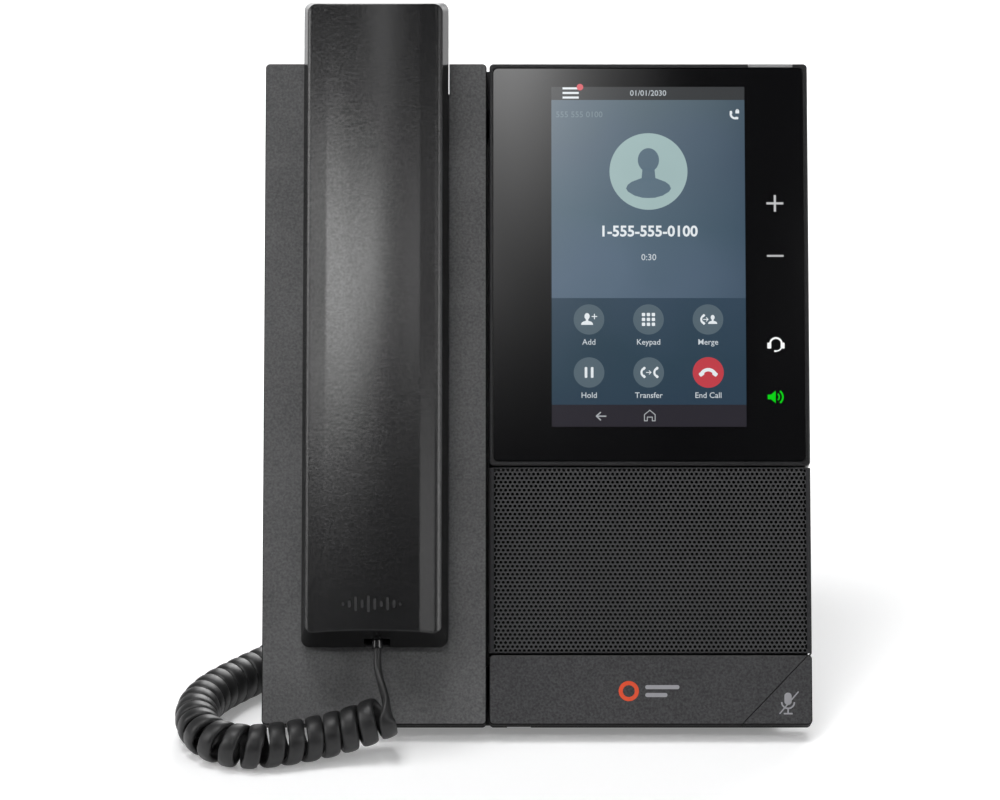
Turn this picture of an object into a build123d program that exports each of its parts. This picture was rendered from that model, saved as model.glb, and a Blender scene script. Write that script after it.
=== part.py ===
"""Desk phone with a colour touch screen, a cradled handset and a fold-out stand.

Everything but the stand and the cord is drawn flat, in the panel's own frame:
x to the right, u up the panel from its lower edge, w out of its front face.
stand_up() then leans the panel back on the desk. Millimetres throughout.
"""

from build123d import *
from math import cos, radians, sin, tan
import os

# ---- Driving dimensions: the panel and how it stands on the desk ----
TILT = 60.0  # panel's lean from the horizontal
LIFT = 6.5  # height of the panel's lower front edge above the desk
MID_DEPTH = 65.0  # from the panel's lower front edge back to the origin
HALF_WIDTH = 87.0
LENGTH = 213.2
SLAB = 10.0  # depth of the front covers
WALL = 2.0
CORNER = 1.4
EDGE = 0.5  # softening of the covers' front edges

# ---- The two halves of the front ----
CRADLE_RIGHT = -16.0
DISPLAY_LEFT = -15.1
GRILLE_U = (22.7, 82.0)
CHIN_TOP = 22.2
FRAME_BOTTOM = 82.6
GLASS_X = (-13.8, 85.4)
GLASS_U = (84.2, 211.6)
GLASS_THICK = 1.1
GLASS_GAP = 0.35
SCREEN_X = (3.2, 68.4)
SCREEN_U = (93.5, 207.2)

# ---- The trough that the handset lies in ----
TROUGH_X = (-74.3, -28.0)
TROUGH_BOTTOM = 24.6
TROUGH_DEPTH = 6.3
TROUGH_FLOOR = 1.7
NOTCH_U = 204.5  # above this the trough is open right through, for a fingertip
PLUNGER_AT = (-50.5, 186.0)
TAB_AT = (-50.5, 128.0)
TAB_TRAVEL = 5.0

# ---- The rear housing ----
PLATE = 2.0
BACK = -32.0
HUMP_HALF = 78.0
HUMP_START = 3.0
HUMP_TOP = (202.0, 197.0)
PORT_BAY_U = (82.0, 104.0)
PORT_BAY_HALF = 40.0
BAY_FRONT = -18.5
BOARD_W = (-16.2, -14.6)
CORD_JACK_AT = (-66.0, 42.0)

# ---- The stand ----
HINGE_U = 120.0
HINGE_W = BACK - 7.0
STAND_ANGLE = 20.0  # leg's lean from the vertical
STAND_HALF = 50.0
STAND_LEG = 14.0
STAND_THICK = 6.0
STAND_PAD = 1.6
PIN_RADIUS = 2.4
RUNNING = 0.05

# ---- The handset ----
HANDSET_X = (-74.5, -28.2)  # at its widest, where the two shells part
HANDSET_U = (24.0, 232.5)
HANDSET_MID = -50.5
HANDSET_BACK = -5.8
HANDLE_BACK = 1.0
PARTING = 4.0
HANDSET_TOP = 17.0
CORNER_OF_HANDSET = 2.8
LEFT_DRAFT, RIGHT_DRAFT = 0.151, 0.200  # run of each side per rise above the parting line
LOWER_DRAFT, UPPER_DRAFT = 0.328, 0.274
MOUTH_TOP = 78.0
EAR_BOTTOM = 164.0
PLUG_X = -50.4
PLUG_W = 7.0
PLUG_U = (28.5, 36.5)
RELIEF_END = 23.4

# ---- The mute key in the lower right corner ----
KEY_DEPTH = 5.0
KEY_GAP = 0.35
KEY_TRAVEL = 0.8

# ---- The curly handset cord, in desk coordinates ----
LEAD_DIAMETER = 3.4
COIL_DIAMETER = 14.0
HANDSET_LEAD = [
    (-50.4, -59.362, 30.265),
    (-50.4, -62.2, 25.35),
    (-48.6, -66.3, 21.2),
    (-45.9, -70.2, 18.8),
    (-43.2, -73.0, 17.2),
    (-44.336, -74.586, 15.47),
    (-48.0, -74.9, 13.9),
]
COIL = [
    (-48.0, -74.9, 13.9),
    (-55.0, -75.5, 10.9),
    (-66.0, -76.8, 7.9),
    (-78.0, -80.6, 7.05),
    (-92.0, -84.3, 7.05),
    (-104.6, -76.5, 7.05),
    (-108.6, -58.5, 7.05),
    (-104.6, -44.0, 7.05),
    (-95.4, -31.3, 7.05),
    (-84.5, -18.5, 7.05),
    (-76.5, -5.0, 7.05),
    (-73.0, 10.0, 7.05),
    (-74.5, 25.0, 7.05),
    (-79.0, 39.0, 7.05),
]
BASE_LEAD = [
    (-79.0, 39.0, 7.05),
    (-81.449, 46.62, 7.05),
    (-79.5, 57.5, 3.9),
    (-70.5, 62.5, 2.0),
    (-61.5, 55.0, 1.8),
    (-58.5, 42.0, 1.8),
    (-59.0, 28.5, 2.1),
    (-60.8, 17.0, 5.6),
    (-64.2, 7.2, 12.0),
    (-66.0, -0.7, 17.87),
    (-66.0, -9.36, 22.87),
]


# ---------------------------------------------------------------- helpers
def block(x, u, w):
    """Square-cornered box between pairs of x, u and w."""
    spans = [x, u, w]
    middle = [(low + high) / 2 for low, high in spans]
    size = [high - low for low, high in spans]
    return Pos(*middle) * Box(*size)


def plate(x, u, w, corner=CORNER):
    """Box whose four corners, seen from the front, are rounded."""
    outline = RectangleRounded(x[1] - x[0], u[1] - u[0], corner)
    centre = Pos((x[0] + x[1]) / 2, (u[0] + u[1]) / 2, w[0])
    return extrude(centre * outline, w[1] - w[0])


def grown(span, by):
    """A pair of limits moved apart, or together when by is negative."""
    return span[0] - by, span[1] + by


def rod(x, u, w, radius):
    """Round rod along w at one x and u."""
    return Pos(x, u, (w[0] + w[1]) / 2) * Cylinder(radius, w[1] - w[0])


def soften_front(part, radius=EDGE):
    """Round the outer edge of the part's front face."""
    front = part.faces().sort_by(Axis.Z)[-1]
    return fillet(front.outer_wire().edges(), radius)


def turned(points):
    """Solid turned about w, from (radius, w) points."""
    face = Plane.XZ * make_face(Polyline(*points, close=True))
    return revolve(face, Axis.Z)


def along_x(points, x):
    """Outline of (u, w) points drawn out along x."""
    face = make_face(Polyline(*points, close=True))
    return extrude(Plane.YZ.offset(x[0]) * face, x[1] - x[0])


def stand_up(part):
    """Lean a part drawn in the panel's frame back on the desk."""
    return Pos(0, -MID_DEPTH, LIFT) * Rot(TILT, 0, 0) * part


def desk_point(u, w):
    """Desk y and z of a place on the panel."""
    lean = radians(TILT)
    y = u * cos(lean) - w * sin(lean) - MID_DEPTH
    z = u * sin(lean) + w * cos(lean) + LIFT
    return y, z


def write(name, part, leaned=True):
    """Write one named piece in its place on the desk."""
    placed = stand_up(part) if leaned else part
    export_step(placed, f"parts/{name}.step")


# ---------------------------------------------------------- front covers
def cradle_cover():
    x, u = (-HALF_WIDTH, CRADLE_RIGHT), (0, LENGTH)
    cover = soften_front(plate(x, u, (-SLAB, 0)))
    cover -= plate(grown(x, -WALL), grown(u, -WALL), (-SLAB, -WALL))
    trough_wall = (TROUGH_BOTTOM - WALL, LENGTH - CORNER)
    cover += block(grown(TROUGH_X, WALL), trough_wall, (-TROUGH_DEPTH - TROUGH_FLOOR, -EDGE))
    cover += block(grown(TROUGH_X, WALL), (NOTCH_U - WALL, NOTCH_U), (-SLAB, -TROUGH_DEPTH))
    cover -= plate(TROUGH_X, (TROUGH_BOTTOM, LENGTH + 9), (-TROUGH_DEPTH, 2), 3.0)
    cover -= block(TROUGH_X, (NOTCH_U, LENGTH + 2), (-SLAB - 1, 1))
    for side in (TROUGH_X[0] - WALL, TROUGH_X[1]):
        cover += block((side, side + WALL), (NOTCH_U - WALL, LENGTH - CORNER), (-SLAB, -EDGE))
    px, pu = PLUNGER_AT
    cover -= block((px - 3.4, px + 3.4), (pu - 4.4, pu + 4.4), (-SLAB, 0))
    tx, tu = TAB_AT
    cover -= block((tx - 3.3, tx + 3.3), (tu - 3.3, tu + 3.3 + TAB_TRAVEL), (-SLAB, 0))
    return cover


def display_frame():
    x, u = (DISPLAY_LEFT, HALF_WIDTH), (FRAME_BOTTOM, LENGTH)
    frame = soften_front(plate(x, u, (-SLAB, 0)))
    pocket = grown(GLASS_X, GLASS_GAP), grown(GLASS_U, GLASS_GAP)
    frame -= plate(*pocket, (-GLASS_THICK - 0.1, 1), 1.6)
    frame -= plate(grown(x, -WALL), grown(u, -WALL), (-SLAB, -GLASS_THICK - 1.4))
    frame -= block(grown(SCREEN_X, 1.2), grown(SCREEN_U, 1.2), (-SLAB, 0))
    frame -= block((70.8, 81.7), (97.0, 175.0), (-SLAB, 0))
    light_x, light_u, light_w = message_light_spans()
    frame -= block(grown(light_x, 0.1), (light_u[0] - 0.1, LENGTH + 1), (light_w[0] - 0.1, 1))
    return frame


def message_light_spans():
    return (68.15, 82.2), (LENGTH - 1.1, LENGTH - 0.1), (-5.0, -0.15)


def message_light_pipe():
    return block(*message_light_spans())


def cover_glass():
    return plate(GLASS_X, GLASS_U, (-GLASS_THICK, 0), 1.5)


def lcd_panel():
    return block(SCREEN_X, SCREEN_U, (-3.0, -GLASS_THICK - 0.2))


def backlight_unit():
    return block(SCREEN_X, SCREEN_U, (-4.9, -3.1))


def lcd_tray():
    x, u = grown(SCREEN_X, 0.9), grown(SCREEN_U, 0.9)
    tray = block(x, u, (-5.8, -2.0))
    tray -= block(grown(SCREEN_X, 0.2), grown(SCREEN_U, 0.2), (-5.1, 0))
    return tray


def touch_key_board():
    return block((71.0, 81.5), (97.2, 174.8), (-2.4, -GLASS_THICK - 0.2))


def touch_key_lights():
    lights = [
        block((75.5, 77.1), (u - 0.8, u + 0.8), (-3.3, -2.4))
        for u in (104.7, 121.5, 150.4, 167.5)
    ]
    return Compound(lights)


def speaker_grille():
    x = (DISPLAY_LEFT, HALF_WIDTH)
    grille = soften_front(plate(x, GRILLE_U, (-SLAB, 0), 0.4), 0.4)
    grille -= block(grown(x, -1.0), grown(GRILLE_U, 1), (-SLAB, -1.0))
    return grille


def grille_cloth():
    x = grown((DISPLAY_LEFT, HALF_WIDTH), -1.2)
    return block(x, grown(GRILLE_U, -0.6), (-1.5, -1.05))


# ------------------------------------------------ chin bar and mute key
def key_outline(gap):
    """Corner triangle of the mute key, with its slanted side moved in by gap."""
    slant_top, slant_left = 22.0 - gap, 63.0 + gap
    return [
        (slant_left, -2.0),
        (slant_left + 0.6, -1.0),
        (HALF_WIDTH - 1.4, slant_top),
        (HALF_WIDTH + 2.0, slant_top + 1.0),
        (HALF_WIDTH + 2.0, -2.0),
    ]


def chin_block(w):
    return plate((DISPLAY_LEFT, HALF_WIDTH), (0, CHIN_TOP), w)


def key_prism(gap, w):
    face = make_face(Polyline(*key_outline(gap), close=True))
    return extrude(Pos(0, 0, w[0]) * face, w[1] - w[0])


def chin_bar():
    x, u = (DISPLAY_LEFT, HALF_WIDTH), (0, CHIN_TOP)
    chin = soften_front(chin_block((-SLAB, 0)))
    chin -= block(grown(x, -WALL), grown(u, -WALL), (-SLAB, -WALL))
    pocket_floor = -KEY_DEPTH - KEY_TRAVEL - 0.4
    web = key_prism(-1.5, (pocket_floor - 1.2, -EDGE)) & chin_block((-SLAB, -EDGE))
    chin += web
    chin -= key_prism(0.0, (pocket_floor, 1))
    chin -= block((75.5, 81.5), (3.5, 9.5), (pocket_floor - 2, 0))
    chin -= block((-9.5, -1.9), (-1.0, WALL + 1), (-SLAB - 1, -SLAB + 2.4))
    return chin


def mute_key():
    body = soften_front(chin_block((-KEY_DEPTH, 0)))
    body &= key_prism(KEY_GAP, (-KEY_DEPTH, 1))
    body -= key_prism(KEY_GAP + 2.6, (-KEY_DEPTH, -1.8)) & chin_shrunk()
    body += rod(78.5, 6.5, (-6.6, -1.8), 1.6)
    return body


def chin_shrunk():
    return block((DISPLAY_LEFT, HALF_WIDTH - 1.6), (1.6, CHIN_TOP), (-KEY_DEPTH, 0))


def mute_switch():
    switch = block((75.9, 81.1), (3.9, 9.1), (-8.8, -7.9))
    switch += rod(78.5, 6.5, (-7.9, -7.5), 1.3)
    return switch


def mute_board():
    board = block((58.0, 84.4), (2.6, 19.0), (-9.8, -8.8))
    return board - rod(62.0, 15.0, (-12, -8), 1.3)


def base_microphone():
    return block((10.0, 13.0), (3.0, 7.0), (-4.2, -WALL - 0.1))


# ---------------------------------------------------------- loudspeaker
SPEAKER_AT = (34.0, 52.4)


def speaker_frame():
    ring = turned([(22.6, -3.0), (26.0, -3.0), (26.0, -4.4), (14.6, -12.6), (14.6, -11.4), (22.6, -5.4)])
    return Pos(*SPEAKER_AT, 0) * ring


def speaker_cone():
    cone = turned([(22.4, -3.4), (22.4, -4.0), (7.5, -9.8), (0.0, -7.6), (0.0, -7.0), (7.5, -9.2)])
    return Pos(*SPEAKER_AT, 0) * cone


def speaker_magnet():
    magnet = turned([(0.0, -11.2), (14.4, -11.2), (14.4, -17.5), (13.6, -18.3), (0.0, -18.3)])
    return Pos(*SPEAKER_AT, 0) * magnet


def speaker_box():
    x, u = (-11.0, 74.0), (24.6, 80.0)
    box = plate(x, u, (-21.0, -2.6), 2.0)
    box -= plate(grown(x, -1.6), grown(u, -1.6), (-19.4, 0), 1.0)
    return box


# --------------------------------------------------------- rear housing
def hump_outline(inset):
    """Side outline of the hump: its underside is level once leaned back."""
    slope = tan(radians(90 - TILT))
    foot = HUMP_START + inset / cos(radians(90 - TILT))
    depth = -SLAB - BACK - inset
    return [
        (foot, -SLAB),
        (foot + depth * slope, BACK + inset),
        (HUMP_TOP[1] - inset, BACK + inset),
        (HUMP_TOP[0] - inset, -SLAB),
    ]


def rear_housing():
    outside = along_x(hump_outline(0), (-HUMP_HALF, HUMP_HALF))
    back_face = outside.faces().sort_by(Axis.Z)[0]
    housing = fillet(back_face.edges(), 3.0)
    housing += plate(grown((-HALF_WIDTH, HALF_WIDTH), -0.8), (0.8, LENGTH - 0.4), (-SLAB - PLATE, -SLAB))
    housing -= along_x(hump_outline(WALL), grown((-HUMP_HALF, HUMP_HALF), -WALL))
    housing -= block(TROUGH_X, (NOTCH_U, LENGTH + 1), (-SLAB - PLATE - 1, 0))
    housing -= block((-9.5, -1.9), (-1.0, 2.6), (-SLAB - PLATE - 1, 0))
    housing += port_bay_walls()
    housing -= block((-PORT_BAY_HALF, PORT_BAY_HALF), PORT_BAY_U, (BACK - 1, BAY_FRONT))
    for hole in port_holes():
        housing -= hole
    housing += stand_knuckles()
    housing -= vents()
    for x, u in HOUSING_SCREWS:
        housing -= rod(x, u, (BACK - 1, BACK + 1.6), 2.9)
        housing -= rod(x, u, (BACK - 1, BACK + 4), 1.5)
    return housing


HOUSING_SCREWS = [(x, u) for x in (-44.0, 44.0) for u in (30.0, 136.0, 186.0)]


def port_bay_walls():
    x = grown((-PORT_BAY_HALF, PORT_BAY_HALF), WALL)
    return block(x, grown(PORT_BAY_U, WALL), (BACK + WALL, BAY_FRONT + WALL))


def vents():
    slots = [
        plate((x - 1.1, x + 1.1), (146.0, 178.0), (BACK - 1, BACK + WALL + 1), 1.0)
        for x in range(-30, 31, 6)
    ]
    return Compound(slots)


def stand_knuckles():
    """Two ears on the housing's back that carry the stand's pins."""
    ears = []
    for side in (-1, 1):
        x = sorted((side * (STAND_HALF + 0.5), side * (STAND_HALF + 7)))
        ear = block(x, (HINGE_U - 6, HINGE_U + 6), (HINGE_W, BACK + 0.5))
        middle = Pos((x[0] + x[1]) / 2, HINGE_U, HINGE_W) * Rot(0, 90, 0)
        ear += middle * Cylinder(6.0, x[1] - x[0])
        ear -= middle * Cylinder(PIN_RADIUS, 20)
        ears.append(ear)
    return Compound(ears)


def stand_pins():
    pins = [
        Pos(side * (STAND_HALF + 0.5), HINGE_U, HINGE_W) * Rot(0, 90, 0) * Cylinder(PIN_RADIUS, 13)
        for side in (-1, 1)
    ]
    return Compound(pins)


def housing_screws():
    screws = [
        rod(x, u, (BACK + 0.1, BACK + 1.6), 2.6) + rod(x, u, (BACK + 1.6, BACK + 9), 1.3)
        for x, u in HOUSING_SCREWS
    ]
    slots = [block((x - 2, x + 2), (u - 0.35, u + 0.35), (BACK, BACK + 0.7)) for x, u in HOUSING_SCREWS]
    return Compound([screw - slot for screw, slot in zip(screws, slots)])


def rating_plate():
    return plate((-20.0, 20.0), (44.0, 66.0), (BACK - 0.4, BACK), 1.5)


# ---------------------------------------------------- boards and sockets
def main_board():
    board = block((-54.0, 74.0), (83.0, 190.0), BOARD_W)
    board += block((-54.0, -13.5), (20.0, 83.0), BOARD_W)
    for x, u in HOUSING_SCREWS:
        board -= rod(x, u, (BOARD_W[0] - 1, BOARD_W[1] + 1), 3.0)
    return board


def shield_can():
    can = plate((8.0, 62.0), (130.0, 180.0), (BOARD_W[0] - 4.0, BOARD_W[0]), 2.0)
    return can - plate((8.5, 61.5), (130.5, 179.5), (BOARD_W[0] - 3.5, BOARD_W[0]), 1.5)


def processor():
    return block((24.0, 42.0), (146.0, 164.0), (BOARD_W[0] - 1.6, BOARD_W[0]))


# name: (centre x, outer width, outer height, cavity width, cavity height)
PORTS = {
    "lan_jack": (-27.0, 16.0, 13.2, 11.7, 8.4),
    "pc_jack": (-7.5, 16.0, 13.2, 11.7, 8.4),
    "headset_jack": (11.5, 12.0, 12.2, 7.8, 7.4),
    "dc_jack": (28.5, 9.0, 11.0, 6.0, 6.0),
}
JACK_TOP = PORT_BAY_U[1] + 17.5


def port_jack(name):
    """Socket on the board whose mouth opens down into the port bay."""
    x, width, height, mouth_width, mouth_height = PORTS[name]
    top = BOARD_W[0]
    middle = top - height / 2
    u = (PORT_BAY_U[1], JACK_TOP)
    jack = block((x - width / 2, x + width / 2), u, (top - height, top))
    if name == "dc_jack":
        bore = Pos(x, u[0] + 5, middle) * Rot(90, 0, 0)
        jack -= bore * Cylinder(mouth_width / 2, 10.2)
        return jack + Pos(x, u[0] + 6.5, middle) * Rot(90, 0, 0) * Cylinder(1.0, 11)
    mouth_u = (u[0] - 1, u[0] + 13)
    half = mouth_width / 2
    jack -= block((x - half, x + half), mouth_u, (middle - mouth_height / 2, middle + mouth_height / 2))
    latch = (middle - mouth_height / 2 - 1.8, middle)
    jack -= block((x - 1.9, x + 1.9), mouth_u, latch)
    return jack


def port_holes():
    holes = []
    for x, width, height, _, _ in PORTS.values():
        u = (PORT_BAY_U[1] - 1, PORT_BAY_U[1] + WALL + 1)
        w = (BOARD_W[0] - height - 0.1, BOARD_W[0] + 0.1)
        holes.append(block((x - width / 2 - 0.1, x + width / 2 + 0.1), u, w))
    x, u = CORD_JACK_AT
    holes.append(block((x - 6.1, x + 6.1), (u - 5.6, u + 5.6), (BACK - 1, BACK + WALL + 1)))
    holes.append(block((HUMP_HALF - WALL - 1, HUMP_HALF + 1), (139.9, 154.1), (-25.6, -18.4)))
    return holes


def handset_jack():
    """Socket for the cord, opening straight out of the housing's back."""
    x, u = CORD_JACK_AT
    jack = block((x - 6.0, x + 6.0), (u - 5.5, u + 5.5), (BACK, BACK + 17.5))
    return jack - block((x - 4.0, x + 4.0), (u - 3.3, u + 3.3), (BACK - 1, BACK + 13.0))


def usb_port():
    """Side socket: a folded steel shell around a tongue."""
    x = (HUMP_HALF - 14.5, HUMP_HALF)
    shell = block(x, (140.0, 154.0), (-25.5, -18.5))
    shell -= block((x[0] + 1, x[1] + 1), (140.8, 153.2), (-24.8, -19.2))
    return shell + block((x[0] + 0.5, x[1] - 1.5), (141.6, 152.4), (-23.6, -21.8))


def display_ribbon():
    """Flat cable from the screen's tray down to the board."""
    return block((24.0, 44.0), (186.0, 186.3), (-14.6, -5.8))


# -------------------------------------------- hook switch and wall tab
def hook_plunger():
    x, u = PLUNGER_AT
    top = HANDSET_BACK - 0.3
    stem = block((x - 3.0, x + 3.0), (u - 4.0, u + 4.0), (-9.4, top))
    stem = fillet(stem.faces().sort_by(Axis.Z)[-1].edges(), 0.25)
    stem += rod(x, u, (-12.4, -9.4), 2.4)
    return stem + block((x - 4.6, x + 4.6), (u - 5.6, u + 5.6), (-13.2, -12.4))


def hook_switch():
    x, u = PLUNGER_AT
    return block((x - 3.2, x + 3.2), (u - 3.6, u + 3.6), (BOARD_W[1], -13.5))


def hook_guide():
    """Sleeve under the trough that keeps the plunger square."""
    x, u = PLUNGER_AT
    low = -SLAB + 0.4
    guide = block((x - 5.0, x + 5.0), (u - 6.0, u + 6.0), (low, -TROUGH_DEPTH - TROUGH_FLOOR))
    return guide - block((x - 3.4, x + 3.4), (u - 4.4, u + 4.4), (low - 1, 0))


def retention_tab():
    x, u = TAB_AT
    head_top = -TROUGH_DEPTH + 2.2
    head_low, foot_top = -TROUGH_DEPTH + 0.3, -TROUGH_DEPTH - TROUGH_FLOOR - 0.35
    tab = plate((x - 5.0, x + 5.0), (u - 4.6, u + 4.6), (head_low, head_top), 1.2)
    tab += block((x - 3.0, x + 3.0), (u - 3.0, u + 3.0), (foot_top, head_low))
    tab += block((x - 5.0, x + 5.0), (u - 4.6, u + 4.6), (foot_top - 1.2, foot_top))
    return tab


# ------------------------------------------------------ stand and feet
def stand():
    """U-shaped easel leg, hinged high on the back, with a window for cables."""
    y, z = desk_point(HINGE_U, HINGE_W)
    reach = z / cos(radians(STAND_ANGLE)) + 4
    half = STAND_THICK / 2
    leg = block((-STAND_HALF, STAND_HALF), (-half, half), (-reach, 0))
    window = STAND_HALF - STAND_LEG
    leg -= block((-window, window), (-9, 9), (-reach + 26, -9))
    upright = [edge for edge in leg.edges().filter_by(Axis.Y) if abs(edge.center().X) < STAND_HALF - 1]
    leg = fillet(upright, 5.0)
    barrel = Rot(0, 90, 0) * Cylinder(5.0, 2 * STAND_HALF)
    leg += barrel
    for side in (-1, 1):
        leg -= Pos(side * STAND_HALF, 0, 0) * Rot(0, 90, 0) * Cylinder(PIN_RADIUS + RUNNING, 14)
    leg = Pos(0, y, z) * Rot(STAND_ANGLE, 0, 0) * leg
    return leg - Pos(0, y, STAND_PAD / 2 - 10) * Box(200, 200, STAND_PAD + 20)


def stand_pad():
    y, z = desk_point(HINGE_U, HINGE_W)
    foot = y + z * tan(radians(STAND_ANGLE))
    half = STAND_THICK / 2 + 0.1
    pads = [block((side * 29 - 14, side * 29 + 14), (foot - half, foot + half), (0, STAND_PAD)) for side in (-1, 1)]
    return Compound([fillet(pad.edges().filter_by(Axis.Z), 1.5) for pad in pads])


def base_feet():
    """Rubber feet under the level bottom of the hump."""
    _, top = desk_point(HUMP_START, -SLAB)
    y = 24.0 - MID_DEPTH
    feet = [Pos(x, y, top / 2) * Cone(6.6, 7.6, top) for x in (-56.0, 56.0)]
    return Compound(feet)


# --------------------------------------------------------------- handset
def handset_level(w, inset):
    """Outline of the handset at one height: widest at the parting line."""
    left, right = grown(HANDSET_X, -inset)
    low, high = grown(HANDSET_U, -inset)
    above, below = max(w - PARTING, 0.0), max(PARTING - w, 0.0)
    left += LEFT_DRAFT * above
    right -= RIGHT_DRAFT * above
    low += LOWER_DRAFT * above + 0.36 * below
    high -= UPPER_DRAFT * above + 0.15 * below
    if w < 1.0:
        left, right = left + 0.6, right - 0.2
    outline = RectangleRounded(right - left, high - low, CORNER_OF_HANDSET - inset / 2)
    return Pos((left + right) / 2, (low + high) / 2, w) * outline


def handset_envelope(inset):
    """Drafted block with rounded corners, narrowed where it enters the trough."""
    back = HANDSET_BACK + inset
    heights = (back, 0.2, 1.2, PARTING, HANDSET_TOP)
    return loft([handset_level(w, inset) for w in heights], ruled=True)


def handset_crown(inset):
    """Crowned face between two facets, rounded into the sides."""
    drop = inset
    crown = ThreePointArc((-66.8, 15.3 - drop), (-52.2, 16.2 - drop), (-37.0, 15.3 - drop))
    right = ThreePointArc((-32.2 - inset, 14.1 - drop), (-30.5 - inset, 13.5 - drop), (-29.7 - inset, 11.9 - drop))
    left = ThreePointArc((-73.3 + inset, 12.5 - drop), (-72.9 + inset, 13.7 - drop), (-72.0 + inset, 14.2 - drop))
    outline = [
        Line((-80, -12), (-80, 12.5 - drop)),
        Line((-80, 12.5 - drop), (-73.3 + inset, 12.5 - drop)),
        left,
        Line((-72.0 + inset, 14.2 - drop), (-66.8, 15.3 - drop)),
        crown,
        Line((-37.0, 15.3 - drop), (-32.2 - inset, 14.1 - drop)),
        right,
        Line((-29.7 - inset, 11.9 - drop), (-20, 11.9 - drop)),
        Line((-20, 11.9 - drop), (-20, -12)),
        Line((-20, -12), (-80, -12)),
    ]
    return extrude(Plane.XZ * make_face(outline), -250)


def handset_side(inset):
    """Side outline: two cups and a hollowed handle between."""
    back, handle = HANDSET_BACK + inset, HANDLE_BACK + inset
    outline = [
        (10.0, back),
        (10.0, 20.0),
        (245.0, 20.0),
        (245.0, back),
        (EAR_BOTTOM + inset, back),
        (EAR_BOTTOM - 8 + inset, -2.4 + inset),
        (EAR_BOTTOM - 20 + inset, handle),
        (MOUTH_TOP + 20 - inset, handle),
        (MOUTH_TOP + 8 - inset, -2.4 + inset),
        (MOUTH_TOP - inset, back),
    ]
    return along_x(outline, (-90, -10))


def handset_solid(inset):
    return handset_envelope(inset) & handset_crown(inset) & handset_side(inset)


def handset_skin():
    skin = handset_solid(0) - handset_solid(WALL)
    socket = block((PLUG_X - 4.1, PLUG_X + 4.1), (20, 30), (PLUG_W - 3.2, PLUG_W + 3.2))
    return skin - socket


def handset_front():
    return handset_skin() & block((-90, -10), (0, 250), (PARTING + 0.05, 30))


def handset_back():
    back = handset_skin() & block((-90, -10), (0, 250), (-30, PARTING))
    for x, u in sound_holes(200.0, 3) + sound_holes(46.0, 1):
        back -= rod(x, u, (HANDSET_BACK - 1, HANDSET_BACK + WALL + 1), 0.9)
    for u in (88.0, 154.0):
        back -= rod(HANDSET_MID, u, (-9, 9), 1.6)
    return back


def sound_holes(u, rings):
    """Centres of a round field of holes: one in the middle and rings about it."""
    centres = [(HANDSET_MID, u)]
    for ring in range(1, rings + 1):
        count = 6 * ring
        for step in range(count):
            turn = radians(360 * step / count)
            centres.append((HANDSET_MID + 3.2 * ring * sin(turn), u + 3.2 * ring * cos(turn)))
    return centres


def receiver_capsule():
    low = HANDSET_BACK + WALL + 1.2
    return rod(HANDSET_MID, 200.0, (low, low + 5.0), 15.0)


def receiver_gasket():
    low = HANDSET_BACK + WALL
    ring = rod(HANDSET_MID, 200.0, (low, low + 1.2), 15.0)
    return ring - rod(HANDSET_MID, 200.0, (low - 1, low + 3), 12.0)


def handset_microphone():
    low = HANDSET_BACK + WALL
    return rod(HANDSET_MID, 46.0, (low, low + 4.0), 4.8)


def handset_weight():
    """Steel bar that gives the handset its heft on the hook switch."""
    return block((HANDSET_MID - 12, HANDSET_MID + 12), (100.0, 142.0), (4.2, 10.0))


def handset_cord_jack():
    x = PLUG_X
    jack = block((x - 5.6, x + 5.6), (29.0, 41.0), (PLUG_W - 4.2, PLUG_W + 4.2))
    return jack - block((x - 3.95, x + 3.95), (20, 37.0), (PLUG_W - 3.1, PLUG_W + 3.1))


def handset_screws():
    screws = [
        rod(HANDSET_MID, u, (HANDLE_BACK + 0.5, HANDLE_BACK + 1.7), 1.5)
        + rod(HANDSET_MID, u, (HANDLE_BACK + 1.7, 11.0), 1.0)
        for u in (88.0, 154.0)
    ]
    return Compound(screws)


def cord_plug_on_handset():
    """Modular plug deep in the handset's lower end, with its strain relief."""
    x = PLUG_X
    plug = block((x - 3.8, x + 3.8), PLUG_U, (PLUG_W - 2.9, PLUG_W + 2.9))
    plug -= block((x - 1.6, x + 1.6), (31.0, 38.0), (PLUG_W - 4, PLUG_W - 2.0))
    reach = PLUG_U[0] - RELIEF_END
    relief = Pos(x, RELIEF_END + reach / 2, PLUG_W) * Rot(90, 0, 0) * Cylinder(1.7, reach)
    return plug + relief


# ------------------------------------------------------------------ cord
def corner_radii(points):
    """Radius at each corner: as large as the two runs beside it allow."""
    radii = []
    for before, corner, after in zip(points, points[1:], points[2:]):
        run_in = Vector(*corner) - Vector(*before)
        run_out = Vector(*after) - Vector(*corner)
        turn = radians(run_in.get_angle(run_out))
        radii.append(0.45 * min(run_in.length, run_out.length) / tan(turn / 2))
    return radii


def cord_tube(name, points, diameter):
    radii = corner_radii(points)
    path = FilletPolyline(*points, radius=radii)
    tube = sweep(Plane(path ^ 0) * Circle(diameter / 2), path=path)
    section = 3.14159 * diameter**2 / 4
    share = tube.volume / (section * path.length)
    print(name, "length", round(path.length, 1), "volume share", round(share, 4))
    print("  radii", [round(radius, 1) for radius in radii])
    return tube


def base_plug():
    """Modular plug in the socket on the housing's back."""
    x, u = CORD_JACK_AT
    plug = block((x - 3.8, x + 3.8), (u - 3.0, u + 3.0), (BACK - 8.0, BACK + 11.0))
    return plug - block((x - 1.6, x + 1.6), (u + 1.8, u + 4), (BACK - 6.0, BACK + 4))


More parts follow.
